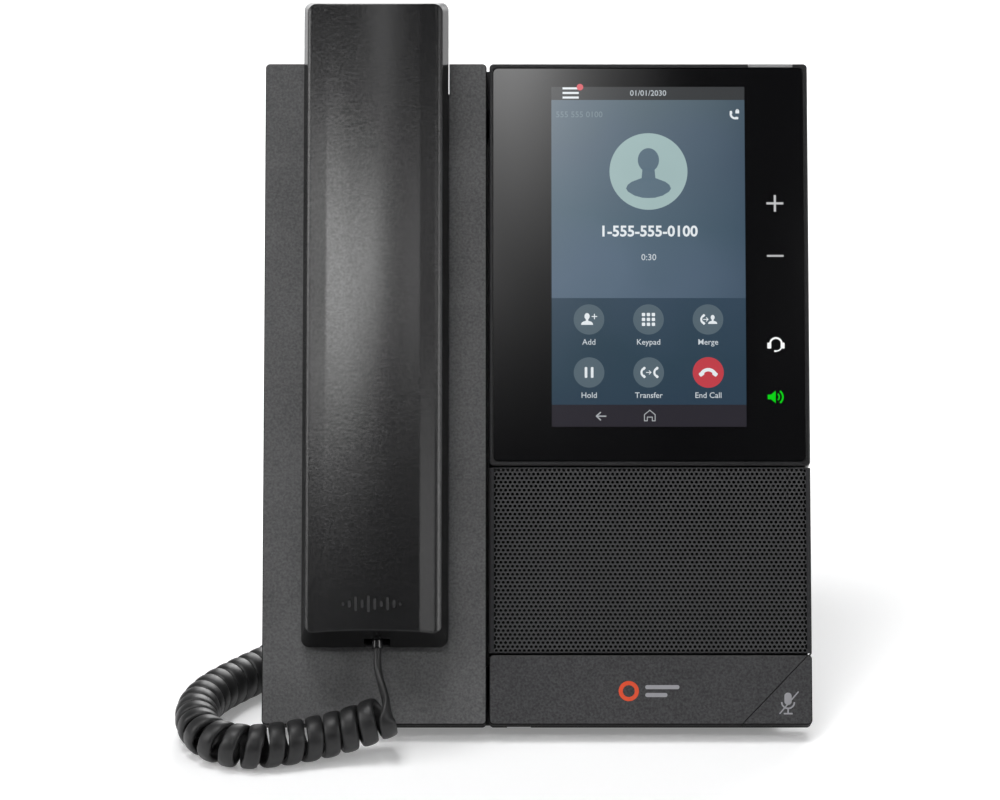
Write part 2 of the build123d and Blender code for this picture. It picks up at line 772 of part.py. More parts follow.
# ------------------------------------------------------------------ build
LEANED = {
    "cradle_cover": cradle_cover,
    "display_frame": display_frame,
    "message_light_pipe": message_light_pipe,
    "cover_glass": cover_glass,
    "lcd_panel": lcd_panel,
    "backlight_unit": backlight_unit,
    "lcd_tray": lcd_tray,
    "touch_key_board": touch_key_board,
    "touch_key_lights": touch_key_lights,
    "speaker_grille": speaker_grille,
    "grille_cloth": grille_cloth,
    "chin_bar": chin_bar,
    "mute_key": mute_key,
    "mute_switch": mute_switch,
    "mute_board": mute_board,
    "base_microphone": base_microphone,
    "speaker_frame": speaker_frame,
    "speaker_cone": speaker_cone,
    "speaker_magnet": speaker_magnet,
    "speaker_box": speaker_box,
    "rear_housing": rear_housing,
    "housing_screws": housing_screws,
    "rating_plate": rating_plate,
    "main_board": main_board,
    "shield_can": shield_can,
    "processor": processor,
    "handset_jack": handset_jack,
    "usb_port": usb_port,
    "display_ribbon": display_ribbon,
    "hook_plunger": hook_plunger,
    "hook_switch": hook_switch,
    "hook_guide": hook_guide,
    "retention_tab": retention_tab,
    "stand_pins": stand_pins,
    "handset_front": handset_front,
    "handset_back": handset_back,
    "receiver_capsule": receiver_capsule,
    "receiver_gasket": receiver_gasket,
    "handset_microphone": handset_microphone,
    "handset_weight": handset_weight,
    "handset_cord_jack": handset_cord_jack,
    "handset_screws": handset_screws,
    "cord_plug_on_handset": cord_plug_on_handset,
    "base_plug": base_plug,
}
ON_DESK = {"stand": stand, "stand_pad": stand_pad, "base_feet": base_feet}
CORD = {
    "handset_cord_lead": (HANDSET_LEAD, LEAD_DIAMETER),
    "handset_cord_coil": (COIL, COIL_DIAMETER),
    "base_cord_lead": (BASE_LEAD, LEAD_DIAMETER),
}

os.makedirs("parts", exist_ok=True)
for name, make in LEANED.items():
    write(name, make())
for name in PORTS:
    write(name, port_jack(name))
for name, make in ON_DESK.items():
    write(name, make(), leaned=False)
for name, (points, diameter) in CORD.items():
    write(name, cord_tube(name, points, diameter), leaned=False)
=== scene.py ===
"""Looks of the desk phone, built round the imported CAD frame. Blender units are metres.

Places on the front are given as in the CAD part: x to the right, u up the panel
from its lower edge, w out of its face, in millimetres. panel() turns them into
the desk's frame. Faces of the CAD nodes are only painted; the grille and the cord
are replaced by finer meshes, and the marks and the lit screen are added.
"""
import math

import bmesh
import bpy
from mathutils import Matrix, Vector


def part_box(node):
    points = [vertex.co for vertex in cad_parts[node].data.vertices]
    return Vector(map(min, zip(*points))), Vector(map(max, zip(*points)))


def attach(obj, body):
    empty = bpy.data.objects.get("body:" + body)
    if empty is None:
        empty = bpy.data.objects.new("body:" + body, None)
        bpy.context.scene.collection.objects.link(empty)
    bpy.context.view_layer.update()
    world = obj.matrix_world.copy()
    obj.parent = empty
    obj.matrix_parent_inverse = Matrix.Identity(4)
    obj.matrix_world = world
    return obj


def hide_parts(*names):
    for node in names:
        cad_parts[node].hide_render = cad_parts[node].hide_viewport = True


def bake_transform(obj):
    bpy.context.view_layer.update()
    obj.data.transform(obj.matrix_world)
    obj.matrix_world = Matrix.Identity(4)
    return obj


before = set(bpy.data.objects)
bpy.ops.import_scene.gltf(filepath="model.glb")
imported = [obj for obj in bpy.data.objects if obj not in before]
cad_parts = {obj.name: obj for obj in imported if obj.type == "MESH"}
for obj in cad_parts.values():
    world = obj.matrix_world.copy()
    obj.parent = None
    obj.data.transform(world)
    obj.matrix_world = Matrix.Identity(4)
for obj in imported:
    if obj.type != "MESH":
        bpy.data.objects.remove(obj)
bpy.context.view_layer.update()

MM = 0.001
TILT = math.radians(60.0)
LIFT = 6.5  # height of the panel's lower edge above the desk
MID_DEPTH = 65.0
# Plain black under the lit plates, and also the painted shade that moulded() lays on walls and rounded edges.
BLACK_AND_WALL_SHADE = (0.003, 0.003, 0.003, 1.0)
WHITE = (1.0, 1.0, 1.0, 1.0)
PANEL_NORMAL = Vector((0.0, -math.sin(TILT), math.cos(TILT)))


def panel(x, u, w):
    """Point in the desk's frame, in metres, of a place on the panel."""
    y = u * math.cos(TILT) - w * math.sin(TILT) - MID_DEPTH
    z = u * math.sin(TILT) + w * math.cos(TILT) + LIFT
    return Vector((x, y, z)) * MM


# ------------------------------------------------------------------ camera
CAMERA_AIM = (-11.70, 103.73, 0.0)
CAMERA_DISTANCE = 1.8
CAMERA_HEIGHT_ANGLE = math.radians(21.0)
LENS = 203.4


def make_camera():
    """Camera in front of the phone, looking a little down at the panel."""
    data = bpy.data.cameras.new("camera")
    data.lens = LENS
    data.sensor_width = 36.0
    data.clip_start = 0.05
    data.clip_end = 60.0
    camera = bpy.data.objects.new("camera", data)
    bpy.context.scene.collection.objects.link(camera)
    back = Vector((0.0, -math.cos(CAMERA_HEIGHT_ANGLE), math.sin(CAMERA_HEIGHT_ANGLE)))
    camera.location = panel(*CAMERA_AIM) + CAMERA_DISTANCE * back
    camera.rotation_euler = (math.pi / 2 - CAMERA_HEIGHT_ANGLE, 0.0, 0.0)
    bpy.context.scene.camera = camera
    return camera


# --------------------------------------------------------------- materials
def linear(red, green, blue):
    """Linear colour of a display colour given from 0 to 255."""
    def channel(value):
        value /= 255.0
        return value / 12.92 if value <= 0.04045 else ((value + 0.055) / 1.055) ** 2.4
    return (channel(red), channel(green), channel(blue), 1.0)


def shade(colour, factor):
    """The same colour, darker or lighter by a factor."""
    return (colour[0] * factor, colour[1] * factor, colour[2] * factor, 1.0)


class Nodes:
    """Short way to add and link the nodes of one material."""

    def __init__(self, name):
        self.material = bpy.data.materials.new(name)
        self.material.use_nodes = True
        self.tree = self.material.node_tree
        self.shader = self.tree.nodes["Principled BSDF"]
        self.place = self.tree.nodes.new("ShaderNodeTexCoord").outputs["Object"]

    def feed(self, socket, value):
        """Link another node's output into a socket, or set the socket itself to a plain value."""
        if isinstance(value, bpy.types.NodeSocket):
            self.tree.links.new(value, socket)
        else:
            socket.default_value = value

    def add(self, kind, inputs=(), **settings):
        """New node with its settings made and its inputs fed."""
        node = self.tree.nodes.new(kind)
        for key, value in settings.items():
            setattr(node, key, value)
        for key, value in dict(inputs).items():
            self.feed(node.inputs[key], value)
        return node

    def noise(self, size, detail=3.0, roughness=0.5, stretch=(1.0, 1.0, 1.0)):
        """Noise whose features are about size millimetres across."""
        place = self.place
        if stretch != (1.0, 1.0, 1.0):
            place = self.add("ShaderNodeMapping", {"Vector": place, "Scale": stretch}).outputs[0]
        inputs = {"Vector": place, "Scale": 1.0 / (size * MM), "Detail": detail, "Roughness": roughness}
        return self.add("ShaderNodeTexNoise", inputs).outputs["Fac"]

    def cells(self, size):
        """Distance to the middle of cells about size millimetres across."""
        inputs = {"Vector": self.place, "Scale": 1.0 / (size * MM)}
        return self.add("ShaderNodeTexVoronoi", inputs).outputs["Distance"]

    def remap(self, value, low, high, to_low, to_high):
        """The value's range from low to high, laid over another range and held inside it."""
        inputs = {"Value": value, 1: low, 2: high, 3: to_low, 4: to_high}
        return self.add("ShaderNodeMapRange", inputs).outputs[0]

    def mix(self, factor, first, second):
        """Blend of two colours."""
        return self.add("ShaderNodeMix", {0: factor, 6: first, 7: second}, data_type="RGBA").outputs[2]

    def math(self, operation, first, second):
        """Arithmetic on two values."""
        return self.add("ShaderNodeMath", {0: first, 1: second}, operation=operation).outputs[0]

    def facing_panel(self):
        """1 where the surface faces out of the panel, and 0 on the walls square to it."""
        normal = self.tree.nodes["Texture Coordinate"].outputs["Normal"]
        node = self.add("ShaderNodeVectorMath", {0: normal, 1: PANEL_NORMAL}, operation="DOT_PRODUCT")
        return node.outputs["Value"]

    def bump(self, height, depth, strength=1.0, normal=None):
        """Bump of depth millimetres from a height of 0 to 1."""
        inputs = {"Height": height, "Distance": depth * MM, "Strength": strength}
        if normal is not None:
            inputs["Normal"] = normal
        return self.add("ShaderNodeBump", inputs).outputs[0]

    def set(self, **inputs):
        """Feed the shader and give back the material."""
        names = {"colour": "Base Color", "rough": "Roughness", "metal": "Metallic", "normal": "Normal",
                 "specular": "Specular IOR Level", "stretch": "Anisotropic", "tangent": "Tangent",
                 "glow": "Emission Color", "glow_strength": "Emission Strength"}
        for key, value in inputs.items():
            self.feed(self.shader.inputs[names[key]], value)
        return self.material


def moulded(name, colour, rough, grain, depth, speckle, specular=0.5, rough_spread=0.08, edge=None,
            gleam=0.0, rounding=0.0, stretch=0.0):
    """Moulded plastic with a grain of grain millimetres and a faint mottle.

    edge paints shade: it blackens what faces less out of the panel than its two limits, so that walls
    and rounded edges look shaded, and cuts their specular; gleam varies the gloss of that kind of
    plastic with the grain, rounding softens the corners by that many millimetres, and stretch draws
    the highlights out along the panel.
    """
    nodes = Nodes(name)
    fine = nodes.noise(grain, 4.0, 0.62)
    pebbles = nodes.cells(grain * 1.5)
    broad = nodes.noise(24.0, 2.0)
    level = nodes.math("ADD", nodes.math("MULTIPLY", fine, 0.6), nodes.math("MULTIPLY", broad, 0.4))
    factor = nodes.remap(level, 0.35, 0.65, 0.0, 1.0)
    tone = nodes.mix(factor, shade(colour, 1.0 - speckle), shade(colour, 1.0 + speckle))
    # Painted shade: walls and rounded edges that turn away from the panel's face are blackened and lose most of
    # their specular, as if they lay in shade.
    if edge:
        facing = nodes.remap(nodes.facing_panel(), *edge, 0.0, 1.0)
        tone = nodes.mix(facing, BLACK_AND_WALL_SHADE, tone)
        specular = nodes.math("MULTIPLY", nodes.remap(fine, 0.36, 0.64, 1.0 - gleam, 1.0 + gleam), specular)
        specular = nodes.math("MULTIPLY", nodes.remap(facing, 0.0, 1.0, 0.1, 1.0), specular)
    height = nodes.math("ADD", nodes.math("MULTIPLY", fine, 0.65), nodes.math("MULTIPLY", pebbles, 0.35))
    roughness = nodes.remap(fine, 0.3, 0.7, rough - rough_spread, rough + rough_spread)
    corner = None
    if rounding:
        corner = nodes.add("ShaderNodeBevel", {"Radius": rounding * MM}, samples=4).outputs[0]
    if stretch:
        nodes.set(stretch=stretch, tangent=nodes.add("ShaderNodeCombineXYZ", {"X": 1.0}).outputs[0])
    return nodes.set(colour=tone, rough=roughness, specular=specular, normal=nodes.bump(height, depth, 1.0, corner))


def glossy(name, colour, rough):
    """Polished surface whose gloss varies faintly, as wiped glass does."""
    nodes = Nodes(name)
    wipe = nodes.noise(35.0, 3.0, 0.5, (1.0, 0.35, 0.35))
    tone = nodes.mix(wipe, shade(colour, 0.9), shade(colour, 1.1))
    roughness = nodes.remap(wipe, 0.3, 0.7, rough, rough + 0.04)
    return nodes.set(colour=tone, rough=roughness)


def metal(name, colour, rough=0.3):
    """Plated sheet with a fine brush."""
    nodes = Nodes(name)
    brush = nodes.noise(0.25, 3.0, 0.6, (0.08, 1.0, 1.0))
    tone = nodes.mix(brush, shade(colour, 0.85), shade(colour, 1.1))
    roughness = nodes.remap(brush, 0.3, 0.7, rough - 0.06, rough + 0.1)
    return nodes.set(colour=tone, rough=roughness, metal=1.0, normal=nodes.bump(brush, 0.01, 0.5))


def rubber(name, colour, rough=0.62, specular=0.4):
    """Rubber or soft plastic with a little dust on it."""
    nodes = Nodes(name)
    fine = nodes.noise(0.4, 4.0, 0.6)
    dust = nodes.noise(5.0, 3.0, 0.6)
    tone = nodes.mix(nodes.remap(dust, 0.4, 0.75, 0.0, 1.0), colour, shade(colour, 1.5))
    roughness = nodes.remap(dust, 0.3, 0.7, rough - 0.08, rough + 0.06)
    return nodes.set(colour=tone, rough=roughness, specular=specular, normal=nodes.bump(fine, 0.012, 0.6))


def circuit(name, colour):
    """Solder-masked board with tracks as faint raised lines."""
    nodes = Nodes(name)
    tracks = nodes.add("ShaderNodeTexBrick", {"Vector": nodes.place, "Scale": 90.0, "Mortar Size": 0.03})
    fine = nodes.noise(1.5, 2.0)
    tone = nodes.mix(tracks.outputs["Fac"], colour, shade(colour, 1.9))
    tone = nodes.mix(nodes.remap(fine, 0.4, 0.6, 0.0, 0.35), tone, shade(colour, 0.7))
    return nodes.set(colour=tone, rough=0.35, normal=nodes.bump(tracks.outputs["Fac"], 0.03, 0.5))


def cloth(name, colour):
    """Close weave."""
    nodes = Nodes(name)
    inputs = {"Vector": nodes.place, "Scale": 900.0, "Distortion": 0.4, "Detail": 1.0}
    weave = nodes.add("ShaderNodeTexWave", inputs, wave_type="BANDS", bands_direction="X").outputs["Fac"]
    tone = nodes.mix(weave, shade(colour, 0.6), shade(colour, 1.5))
    return nodes.set(colour=tone, rough=0.95, specular=0.1, normal=nodes.bump(weave, 0.05))


def glow(name, red, green, blue):
    """Lit mark whose display colour is the one given, under the same gloss as the glass."""
    nodes = Nodes(name)
    colour = linear(red, green, blue)
    haze = nodes.noise(14.0, 2.0)
    tone = nodes.mix(haze, shade(colour, 0.95), shade(colour, 1.05))
    return nodes.set(colour=BLACK_AND_WALL_SHADE, rough=0.08, specular=0.5, glow=tone, glow_strength=1.0)


def wallpaper(name, stops, across):
    """Softly blotched screen colour that runs up the stops and darkens to the right."""
    nodes = Nodes(name)
    split = nodes.add("ShaderNodeSeparateXYZ", {"Vector": nodes.place})
    low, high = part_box("lcd_panel")
    up = nodes.remap(split.outputs["Z"], low.z, high.z, 0.0, 1.0)
    right = nodes.remap(split.outputs["X"], low.x, high.x, 0.0, 1.0)
    cloud = nodes.noise(30.0, 1.5, 0.4)
    place = nodes.math("ADD", up, nodes.remap(cloud, 0.3, 0.7, -0.09, 0.09))
    ramp = nodes.add("ShaderNodeValToRGB", {"Fac": place})
    elements = ramp.color_ramp.elements
    elements[0].position, elements[0].color = stops[0]
    elements[1].position, elements[1].color = stops[-1]
    for position, colour in stops[1:-1]:
        elements.new(position).color = colour
    dark = nodes.math("MULTIPLY", nodes.math("POWER", right, 2.2), across)
    cloud_across = nodes.remap(cloud, 0.35, 0.65, -0.06, 0.06)
    tone = nodes.mix(nodes.math("ADD", dark, cloud_across), ramp.outputs["Color"], linear(38, 58, 78))
    return nodes.set(colour=BLACK_AND_WALL_SHADE, rough=0.08, glow=tone, glow_strength=1.0)


# ----------------------------------------------------------- mesh building
def closed(mesh, name):
    """Mesh data made from a bmesh, which is freed."""
    data = bpy.data.meshes.new(name)
    mesh.to_mesh(data)
    mesh.free()
    return data


def mesh_of(curve, name):
    """Mesh data that a curve gives, and the curve is removed."""
    holder = bpy.data.objects.new(name, curve)
    bpy.context.scene.collection.objects.link(holder)
    bpy.context.view_layer.update()
    data = bpy.data.meshes.new_from_object(holder.evaluated_get(bpy.context.evaluated_depsgraph_get()))
    bpy.data.objects.remove(holder)
    bpy.data.curves.remove(curve)
    return data


def new_object(name, mesh, material, body=None):
    """Object in the scene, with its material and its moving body."""
    piece = bpy.data.objects.new(name, mesh)
    bpy.context.scene.collection.objects.link(piece)
    mesh.materials.append(material)
    if body:
        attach(piece, body)
    return piece


def disc(x, u, radius, count=48):
    """Round outline."""
    turns = [2 * math.pi * step / count for step in range(count)]
    return [(x + radius * math.cos(turn), u + radius * math.sin(turn)) for turn in turns]


def bar(x, u):
    """Rectangle between two x and two u."""
    return [(x[0], u[0]), (x[1], u[0]), (x[1], u[1]), (x[0], u[1])]


def rounded(x, u, radius, count=6):
    """Rectangle with round corners."""
    outline = []
    corners = ((x[1] - radius, u[1] - radius, 0), (x[0] + radius, u[1] - radius, 90),
               (x[0] + radius, u[0] + radius, 180), (x[1] - radius, u[0] + radius, 270))
    for cx, cu, start in corners:
        for step in range(count + 1):
            turn = math.radians(start + 90.0 * step / count)
            outline.append((cx + radius * math.cos(turn), cu + radius * math.sin(turn)))
    return outline


def band(x, u, inner, outer, start, end, count=16):
    """Part of a ring, from start to end degrees."""
    turns = [math.radians(start + (end - start) * step / count) for step in range(count + 1)]
    outside = [(x + outer * math.cos(turn), u + outer * math.sin(turn)) for turn in turns]
    inside = [(x + inner * math.cos(turn), u + inner * math.sin(turn)) for turn in reversed(turns)]
    return outside + inside


def ring(x, u, inner, outer):
    """Whole ring, in two halves."""
    return [band(x, u, inner, outer, 0, 180), band(x, u, inner, outer, 180, 360)]


def stroke(points, width):
    """One bar for each run of a line, with a disc at each point."""
    shapes = [disc(x, u, width / 2, 14) for x, u in points]
    for (x0, u0), (x1, u1) in zip(points, points[1:]):
        length = math.hypot(x1 - x0, u1 - u0)
        dx, du = -(u1 - u0) / length * width / 2, (x1 - x0) / length * width / 2
        shapes.append([(x0 + dx, u0 + du), (x0 - dx, u0 - du), (x1 - dx, u1 - du), (x1 + dx, u1 + du)])
    return shapes


def moved(shapes, x, u, scale=1.0, turn=0.0):
    """The same shapes turned, scaled and set down at x and u."""
    c, s = math.cos(math.radians(turn)) * scale, math.sin(math.radians(turn)) * scale
    return [[(x + c * px - s * pu, u + s * px + c * pu) for px, pu in shape] for shape in shapes]


def area_of(outline):
    """Area inside an outline, negative where it runs clockwise."""
    pairs = zip(outline, outline[1:] + outline[:1])
    return sum(x0 * u1 - x1 * u0 for (x0, u0), (x1, u1) in pairs) / 2


def add_prism(mesh, outline, low, high):
    """Closed plate over an outline, from w low to w high."""
    if area_of(outline) < 0:
        outline = outline[::-1]
    bottom = [mesh.verts.new(panel(x, u, low)) for x, u in outline]
    top = [mesh.verts.new(panel(x, u, high)) for x, u in outline]
    mesh.faces.new(top)
    mesh.faces.new(bottom[::-1])
    count = len(outline)
    for step in range(count):
        after = (step + 1) % count
        mesh.faces.new((bottom[step], bottom[after], top[after], top[step]))


def plates(name, shapes, w, material, body="root"):
    """One piece made of flat plates, each over an outline of (x, u) points."""
    mesh = bmesh.new()
    for outline in shapes:
        add_prism(mesh, outline, *w)
    return new_object(name, closed(mesh, name), material, body)


CAP_HEIGHT = 0.70  # share of the type size that a capital takes


def lettering(name, lines, w, material):
    """Generic words and digits: each line is (words, x, u, cap height, weight, alignment)."""
    mesh = bmesh.new()
    lean = Matrix.Rotation(TILT, 4, "X")
    for words, x, u, height, weight, side in lines:
        curve = bpy.data.curves.new("letters", "FONT")
        curve.body = words
        curve.size = height / CAP_HEIGHT * MM
        curve.offset = weight * MM
        curve.align_x = side
        curve.resolution_u = 3
        curve.extrude = (w[1] - w[0]) / 2 * MM
        part = mesh_of(curve, "letters")
        part.transform(Matrix.Translation(panel(x, u - height / 2, (w[0] + w[1]) / 2)) @ lean)
        mesh.from_mesh(part)
        bpy.data.meshes.remove(part)
    bmesh.ops.remove_doubles(mesh, verts=mesh.verts, dist=1e-7)
    return new_object(name, closed(mesh, name), material, "root")


# -------------------------------------------------------------------- cord
# Routes run from the handset's plug to the base plug, as (x, y, z) in the desk's frame, in millimetres.
CORD_WIDTH = 5.2
CORD_THICK = 2.4
COIL_RADIUS = 5.85  # to the middle of the cord's thickness
HANDSET_LEAD = [
    (-50.4, -59.36, 30.27),
    (-50.4, -62.2, 25.35),
    (-49.3, -66.5, 22.0),
    (-47.8, -72.0, 19.4),
    (-47.0, -77.0, 17.3),
]
COIL = [
    (-47.9, -74.9, 13.9),
    (-55.0, -75.5, 10.9),
    (-66.0, -76.8, 7.9),
    (-78.0, -80.6, 7.1),
    (-92.0, -84.3, 7.1),
    (-104.6, -76.5, 7.1),
    (-108.6, -58.5, 7.1),
    (-104.6, -44.0, 7.1),
    (-95.4, -31.3, 7.1),
    (-84.5, -18.5, 7.1),
    (-76.5, -5.0, 7.1),
    (-73.0, 10.0, 7.1),
    (-74.5, 25.0, 7.1),
    (-79.0, 39.0, 7.1),
]
BASE_LEAD = [
    (-83.2, 49.0, 2.6),
    (-79.5, 57.5, 2.6),
    (-70.5, 62.0, 2.0),
    (-61.5, 55.0, 1.8),
    (-58.5, 42.0, 1.8),
    (-59.0, 28.5, 2.1),
    (-60.8, 17.0, 5.6),
    (-64.2, 7.2, 12.0),
    (-66.0, -0.7, 17.87),
    (-66.0, -9.36, 22.87),
]
ROUTE_STEPS = 12
TURN_STEPS = 36
START_TURN = math.radians(115.0)
FRONT_PITCH = 6.2
BACK_PITCH = 5.25
FRONT_LENGTH = 58.0  # the wide-set turns reach this far along the coil
PITCH_EASE = 15.0
RUN_ON = 3.0  # how far a lead goes on in line with the coil's first or last turn
SECTION_POINTS = 16
SECTION_POWER = 0.75  # below 1 the section is squarer than an ellipse


def spline_points(points):
    """Points along the NURBS curve of a route, in millimetres."""
    curve = bpy.data.curves.new("route", "CURVE")
    curve.dimensions = "3D"
    spline = curve.splines.new("NURBS")
    spline.points.add(len(points) - 1)
    for point, place in zip(spline.points, points):
        point.co = (*place, 1.0)
    spline.order_u = 3
    spline.use_endpoint_u = True
    spline.resolution_u = ROUTE_STEPS
    line = mesh_of(curve, "route")
    places = [vertex.co.copy() for vertex in line.vertices]
    bpy.data.meshes.remove(line)
    return places


def travelled(places):
    """Distance along a line of points, at each point."""
    distances = [0.0]
    for before, after in zip(places, places[1:]):
        distances.append(distances[-1] + (after - before).length)
    return distances


def along(places, distances, at):
    """Place and direction at a distance along a line of points."""
    at = min(max(at, 0.0), distances[-1] - 1e-6)
    step = next(index for index in range(1, len(places)) if distances[index] >= at)
    before, after = places[step - 1], places[step]
    share = (at - distances[step - 1]) / (distances[step] - distances[step - 1])
    return before.lerp(after, share), (after - before).normalized()


def coil_turns(axis_places):
    """Centre line of the coiled wire, with the outward direction at each point."""
    distances = travelled(axis_places)
    places, outward = [], []
    at, turn = 0.0, START_TURN
    while at < distances[-1]:
        centre, ahead = along(axis_places, distances, at)
        side = Vector((0.0, 0.0, 1.0)).cross(ahead).normalized()
        up = ahead.cross(side)
        out = math.cos(turn) * up + math.sin(turn) * side
        places.append(centre + COIL_RADIUS * out)
        outward.append(out)
        ease = min(max((at - FRONT_LENGTH) / PITCH_EASE, 0.0), 1.0)
        pitch = FRONT_PITCH + (BACK_PITCH - FRONT_PITCH) * ease
        turn += 2 * math.pi / TURN_STEPS
        at += pitch / TURN_STEPS
    return places, outward


def flat_section():
    """Outline of the flat cord's section, as (across its width, through its thickness)."""
    outline = []
    for step in range(SECTION_POINTS):
        turn = 2 * math.pi * step / SECTION_POINTS
        c, s = math.cos(turn), math.sin(turn)
        across = math.copysign(abs(c) ** SECTION_POWER, c) * CORD_WIDTH / 2
        through = math.copysign(abs(s) ** SECTION_POWER, s) * CORD_THICK / 2
        outline.append((across, through))
    return outline


def swept_mesh(name, places, outward):
    """Flat cord swept along its points, its thin way pointing outward."""
    mesh = bmesh.new()
    rings = []
    count = len(places)
    for index, (place, out) in enumerate(zip(places, outward)):
        ahead = (places[min(index + 1, count - 1)] - places[max(index - 1, 0)]).normalized()
        across = ahead.cross(out).normalized()
        through = across.cross(ahead)
        rings.append([mesh.verts.new((place + a * across + t * through) * MM) for a, t in flat_section()])
    for before, after in zip(rings, rings[1:]):
        for step in range(len(before)):
            other = (step + 1) % len(before)
            mesh.faces.new((before[step], before[other], after[other], after[step]))
    mesh.faces.new(rings[0][::-1])
    mesh.faces.new(rings[-1])
    bmesh.ops.recalc_face_normals(mesh, faces=mesh.faces)
    for face in mesh.faces:
        face.smooth = True
    return closed(mesh, name)


def make_cord(material):
    """The handset cord in one piece: a flat lead, the coil, and a flat lead round to the base plug."""
    turns, coil_out = coil_turns(spline_points(COIL))
    first, last = (turns[0] - turns[1]).normalized(), (turns[-1] - turns[-2]).normalized()
    lead_in = spline_points(HANDSET_LEAD + [tuple(turns[0] + RUN_ON * first), tuple(turns[0])])
    lead_out = spline_points([tuple(turns[-1]), tuple(turns[-1] + RUN_ON * last)] + BASE_LEAD)
    places = lead_in[:-1] + turns + lead_out[1:]
    outward = []
    sideways, upward = Vector((1.0, 0.0, 0.0)), Vector((0.0, 0.0, 1.0))
    for index in range(len(lead_in) - 1):
        share = min(1.25 * index / (len(lead_in) - 2), 1.0)
        outward.append(sideways.lerp(coil_out[0], share).normalized())
    outward += coil_out
    for index in range(1, len(lead_out)):
        share = min(2.0 * index / len(lead_out), 1.0)
        outward.append(coil_out[-1].lerp(upward, share).normalized())
    cord = new_object("handset_cord", swept_mesh("handset_cord", places, outward), material, None)
    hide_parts("handset_cord_lead", "handset_cord_coil", "base_cord_lead")
    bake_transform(cord)


# ------------------------------------------------------------------ grille
GRILLE_X = (-15.1, 87.0)
GRILLE_U = (22.7, 82.0)
HOLE_PITCH = 1.48
HOLE_RADIUS = 0.53
HOLE_STEPS = 12
SIDE_MARGIN = 1.5
END_MARGIN = 0.75
SHEET = 0.55  # thickness
GRILLE_BEND = 1.0
GRILLE_SIDE = 9.3
MARGIN_LIFT = -0.012  # depth of the margins, so a hair above the perforated field
FRONT_STEPS = 110
SIDE_STEPS = 48


def wrapped(s, u, depth=0.0):
    """Place on the grille's sheet: s runs across the front and down both sides."""
    low, high = GRILLE_X[0] + GRILLE_BEND, GRILLE_X[1] - GRILLE_BEND
    if low <= s <= high:
        return panel(s, u, -depth)
    edge, way = (low, -1.0) if s < low else (high, 1.0)
    beyond = abs(s - edge)
    radius = GRILLE_BEND - depth
    quarter = GRILLE_BEND * math.pi / 2
    turn = min(beyond / GRILLE_BEND, math.pi / 2)
    drop = max(beyond - quarter, 0.0)
    x = edge + way * radius * math.sin(turn)
    return panel(x, u, -GRILLE_BEND + radius * math.cos(turn) - drop)


def make_grille(material, margin):
    """Perforated sheet: a ring of faces and a wall for every hole."""
    mesh = bmesh.new()
    low, high = GRILLE_X[0] + SIDE_MARGIN, GRILLE_X[1] - SIDE_MARGIN
    row_step = HOLE_PITCH * math.sqrt(3.0) / 2
    rows = int((GRILLE_U[1] - GRILLE_U[0] - 2 * END_MARGIN) / row_step)
    first_row = (sum(GRILLE_U) - rows * row_step) / 2
    corner_radius = HOLE_PITCH / math.sqrt(3.0)
    for row in range(rows + 1):
        u = first_row + row * row_step
        columns = int((high - low) / HOLE_PITCH) - (row % 2)
        start = (low + high - columns * HOLE_PITCH) / 2
        for column in range(columns + 1):
            add_hole(mesh, start + column * HOLE_PITCH, u, corner_radius)
    bmesh.ops.remove_doubles(mesh, verts=mesh.verts, dist=2e-6)
    grille = new_object("grille_sheet", closed(mesh, "grille_sheet"), material, "root")
    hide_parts("speaker_grille")
    make_grille_border(margin, low, high, first_row, first_row + rows * row_step, corner_radius)


def add_hole(mesh, s, u, corner_radius):
    """Hexagon of the sheet with a round hole: its points lie at the corners and mid sides in turn."""
    outer, inner, below = [], [], []
    angle = 360.0 / HOLE_STEPS
    for step in range(HOLE_STEPS):
        turn = math.radians(angle * step + angle)
        reach = corner_radius if step % 2 == 0 else corner_radius * math.cos(math.radians(angle))
        c, d = math.cos(turn), math.sin(turn)
        outer.append(mesh.verts.new(wrapped(s + reach * c, u + reach * d)))
        inner.append(mesh.verts.new(wrapped(s + HOLE_RADIUS * c, u + HOLE_RADIUS * d)))
        below.append(mesh.verts.new(wrapped(s + HOLE_RADIUS * c, u + HOLE_RADIUS * d, SHEET)))
    for step in range(HOLE_STEPS):
        after = (step + 1) % HOLE_STEPS
        mesh.faces.new((outer[step], outer[after], inner[after], inner[step]))
        mesh.faces.new((inner[step], inner[after], below[after], below[step]))


def make_grille_border(material, low, high, first_u, last_u, corner_radius):
    """Plain margins that frame the perforated field, a hair above it, rolled over at each edge."""
    mesh = bmesh.new()
    reach = GRILLE_BEND * (math.pi / 2 - 1.0) + GRILLE_SIDE
    far_low = GRILLE_X[0] - reach
    far_high = GRILLE_X[1] + reach
    overlap = corner_radius * 0.45
    for side, inside in ((GRILLE_U[0], first_u - overlap), (GRILLE_U[1], last_u + overlap)):
        way = 1.0 if inside > side else -1.0
        profile = [(side + way * 0.25, SHEET), (side, SHEET), (side, 0.22), (side + way * 0.08, 0.06),
                   (side + way * 0.25, MARGIN_LIFT), (inside, MARGIN_LIFT), (inside, 0.1)]
        add_margin(mesh, far_low, far_high, FRONT_STEPS, profile)
    profile = [(GRILLE_U[0] + 0.1, SHEET), (GRILLE_U[0] + 0.1, MARGIN_LIFT / 2),
               (GRILLE_U[1] - 0.1, MARGIN_LIFT / 2), (GRILLE_U[1] - 0.1, SHEET)]
    for side, inside in ((far_low, low), (far_high, high)):
        add_margin(mesh, side, inside, SIDE_STEPS, profile)
    bmesh.ops.recalc_face_normals(mesh, faces=mesh.faces)
    new_object("grille_border", closed(mesh, "grille_border"), material, "root")


